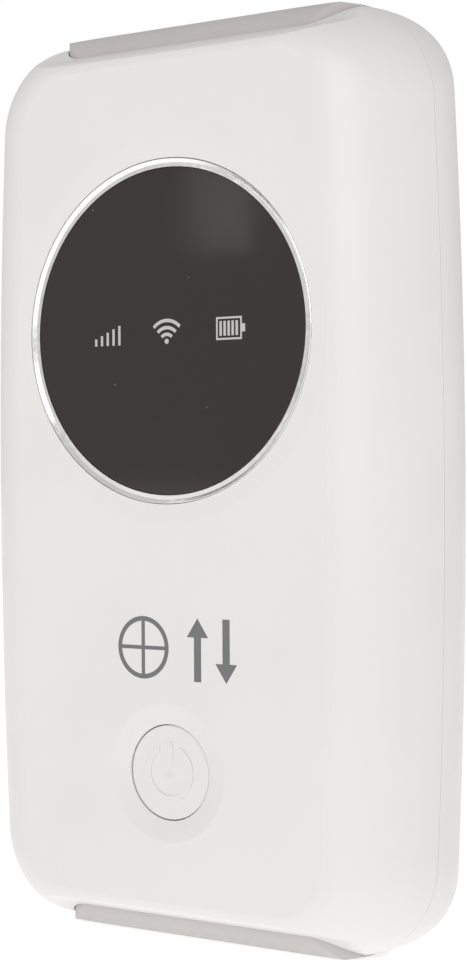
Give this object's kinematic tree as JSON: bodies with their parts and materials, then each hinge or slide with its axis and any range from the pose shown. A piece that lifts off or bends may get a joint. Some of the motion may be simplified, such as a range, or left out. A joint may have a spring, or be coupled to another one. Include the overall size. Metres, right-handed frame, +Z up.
{
  "type": "mobile hotspot",
  "caption": "Pocket mobile hotspot with a round dark status display in a bright bezel, a dished power button, grey end caps and a lift-off back cover over a removable battery.",
  "frame": {"origin": "centre of the bounding box at its base, under the middle of the foot", "axes": "+Z up along the height, display facing -Y, +X to the right as seen from behind the display"},
  "size_m": [0.0568, 0.0214, 0.0985],
  "materials": {
    "shell_white": "satin",
    "cap_grey": "satin",
    "bright_trim": "polished",
    "smoked_lens": "gloss",
    "black_tape": "matte",
    "milky_plastic": "matte",
    "led_body": "gloss",
    "black_plastic": "matte",
    "circuit_board": "satin",
    "shield_steel": "satin",
    "chip_black": "matte",
    "thermal_grey": "matte",
    "frame_plastic": "matte",
    "screw_steel": "satin",
    "antenna_foil": "satin",
    "sim_plastic": "satin",
    "contact_gold": "polished",
    "battery_wrap": "satin",
    "label_paper": "matte"
  },
  "bodies": {
    "housing": {"front_shell": "shell_white", "top_end_cap": "cap_grey", "bottom_end_cap": "cap_grey", "display_bezel": "bright_trim", "display_lens": "smoked_lens", "lens_tape_ring": "black_tape", "icon_diffuser": "milky_plastic", "light_shroud": "milky_plastic", "status_leds": "led_body", "power_switch": "shield_steel", "main_board": "circuit_board", "modem_shield": "shield_steel", "radio_shield": "shield_steel", "modem_chip": "chip_black", "memory_chip": "chip_black", "wifi_chip": "chip_black", "power_amplifiers": "chip_black", "charging_chip": "chip_black", "thermal_pad": "thermal_grey", "usb_port_shell": "shield_steel", "usb_port_tongue": "black_plastic", "inner_frame": "frame_plastic", "case_screws": "screw_steel", "cap_screws": "screw_steel", "board_screws": "screw_steel", "main_antenna": "antenna_foil", "wifi_antenna": "antenna_foil", "second_antenna": "antenna_foil", "sim_holder": "shield_steel", "reset_switch": "shield_steel", "battery_contact_block": "black_plastic", "battery_contact_springs": "contact_gold", "rating_label": "label_paper"},
    "power_key": {"power_button": "shell_white", "switch_plunger": "black_plastic"},
    "reset_key": {"reset_button": "black_plastic"},
    "cover": {"back_cover": "shell_white"},
    "battery": {"battery_pack": "battery_wrap", "battery_terminals": "contact_gold", "battery_label": "label_paper"},
    "sim": {"sim_card": "sim_plastic"}
  },
  "joints": [
    {"name": "power_press", "type": "slide", "parent": "housing", "child": "power_key", "axis": [0, 1, 0], "range_m": [0, 0.0003], "stiffness_N_per_m": 6300, "springref_m": -0.00005},
    {"name": "cover_off", "type": "slide", "parent": "housing", "child": "cover", "axis": [0, 1, 0], "range_m": [0, 0.045]},
    {"name": "battery_out", "type": "slide", "parent": "housing", "child": "battery", "axis": [0, 1, 0], "range_m": [0, 0.0225]},
    {"name": "sim_slide", "type": "slide", "parent": "housing", "child": "sim", "axis": [1, 0, 0], "range_m": [0, 0.0115]},
    {"name": "reset_press", "type": "slide", "parent": "housing", "child": "reset_key", "axis": [0, -1, 0], "range_m": [0, 0.00025], "stiffness_N_per_m": 6500, "springref_m": -0.00005}
  ],
  "couplings": [
    {"joint": "battery_out", "follows": "cover_off", "ratio": 0.5}
  ]
}
